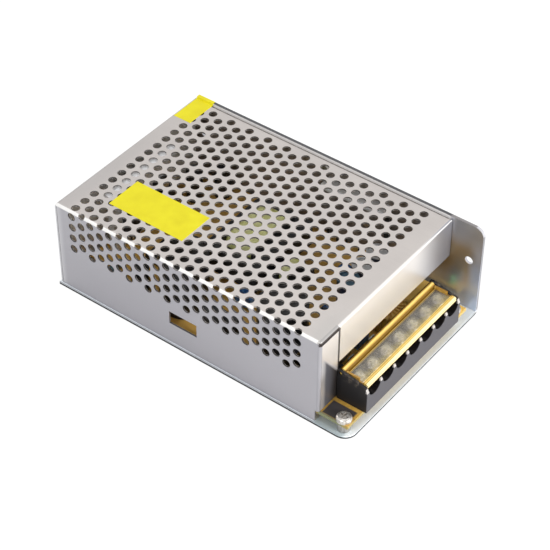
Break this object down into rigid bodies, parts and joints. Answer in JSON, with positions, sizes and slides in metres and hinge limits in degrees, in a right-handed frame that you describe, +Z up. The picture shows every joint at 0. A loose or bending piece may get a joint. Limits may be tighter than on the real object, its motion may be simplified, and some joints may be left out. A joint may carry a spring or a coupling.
{
  "type": "mesh case switching power supply",
  "caption": "Boxed mains power supply: folded metal chassis, perforated cover and a screw terminal block under a clear hinged flap.",
  "frame": {"origin": "centre of the footprint, on the base plate's underside", "axes": "+X along the case towards the terminals, +Y towards the solid chassis wall, +Z up"},
  "size_m": [0.158, 0.0981, 0.0481],
  "materials": {
    "chassis_metal": "satin",
    "cover_metal": "satin",
    "screw_metal": "bright",
    "board_laminate": "satin",
    "insulating_film": "matt",
    "standoff_metal": "satin",
    "block_plastic": "satin",
    "contact_metal": "bright",
    "flap_plastic": "clear",
    "trimmer_plastic": "satin",
    "rotor_plastic": "satin",
    "lamp_plastic": "gloss",
    "ferrite": "matt",
    "former_plastic": "satin",
    "yellow_tape": "gloss",
    "ring_core_paint": "gloss",
    "copper_wire": "gloss",
    "can_sleeve": "gloss",
    "output_can_sleeve": "gloss",
    "blue_epoxy": "gloss",
    "film_box": "satin",
    "fuse_glass": "clear",
    "black_epoxy": "matt",
    "resistor_coat": "satin",
    "sink_metal": "satin",
    "pad_rubber": "matt",
    "yellow_sticker": "satin"
  },
  "bodies": {
    "case": {"chassis": "chassis_metal", "cover": "cover_metal", "cover_base_screws": "screw_metal", "cover_wall_screws": "screw_metal", "circuit_board": "board_laminate", "insulating_sheet": "insulating_film", "board_standoffs": "standoff_metal", "board_screws": "screw_metal", "terminal_block": "block_plastic", "terminal_plates": "contact_metal", "terminal_washers": "contact_metal", "terminal_screws": "screw_metal", "trimmer_body": "trimmer_plastic", "status_lamp": "lamp_plastic", "main_transformer_core": "ferrite", "main_transformer_former": "former_plastic", "main_transformer_winding": "yellow_tape", "small_transformer_core": "ferrite", "small_transformer_former": "former_plastic", "small_transformer_winding": "yellow_tape", "output_choke_core": "ring_core_paint", "output_choke_winding": "copper_wire", "filter_choke_core": "ferrite", "filter_choke_windings": "copper_wire", "filter_choke_base": "former_plastic", "input_capacitors": "can_sleeve", "output_capacitors": "output_can_sleeve", "control_capacitors": "can_sleeve", "disc_capacitors": "blue_epoxy", "film_capacitor": "film_box", "fuse": "fuse_glass", "fuse_clips": "contact_metal", "surge_limiter": "black_epoxy", "bridge_rectifier": "black_epoxy", "control_chip": "black_epoxy", "power_resistors": "resistor_coat", "output_rectifiers": "black_epoxy", "insulating_pads": "pad_rubber", "rectifier_screws": "screw_metal", "rectifier_bracket": "sink_metal", "switch_heatsink": "sink_metal", "switching_transistors": "black_epoxy", "switch_screws": "screw_metal", "cover_label": "yellow_sticker", "seal_label": "yellow_sticker"},
    "terminal_flap": {"terminal_cover": "flap_plastic"},
    "trimmer": {"trimmer_rotor": "rotor_plastic"}
  },
  "joints": [
    {"name": "terminal_cover_hinge", "type": "hinge", "parent": "case", "child": "terminal_flap", "pos_m": [0.0654, 0, 0.0219], "axis": [0, -1, 0], "range_deg": [0, 95]},
    {"name": "trimmer_turn", "type": "hinge", "parent": "case", "child": "trimmer", "pos_m": [0.0655, 0.037, 0.0103], "axis": [1, 0, 0], "range_deg": [-135, 135]}
  ]
}
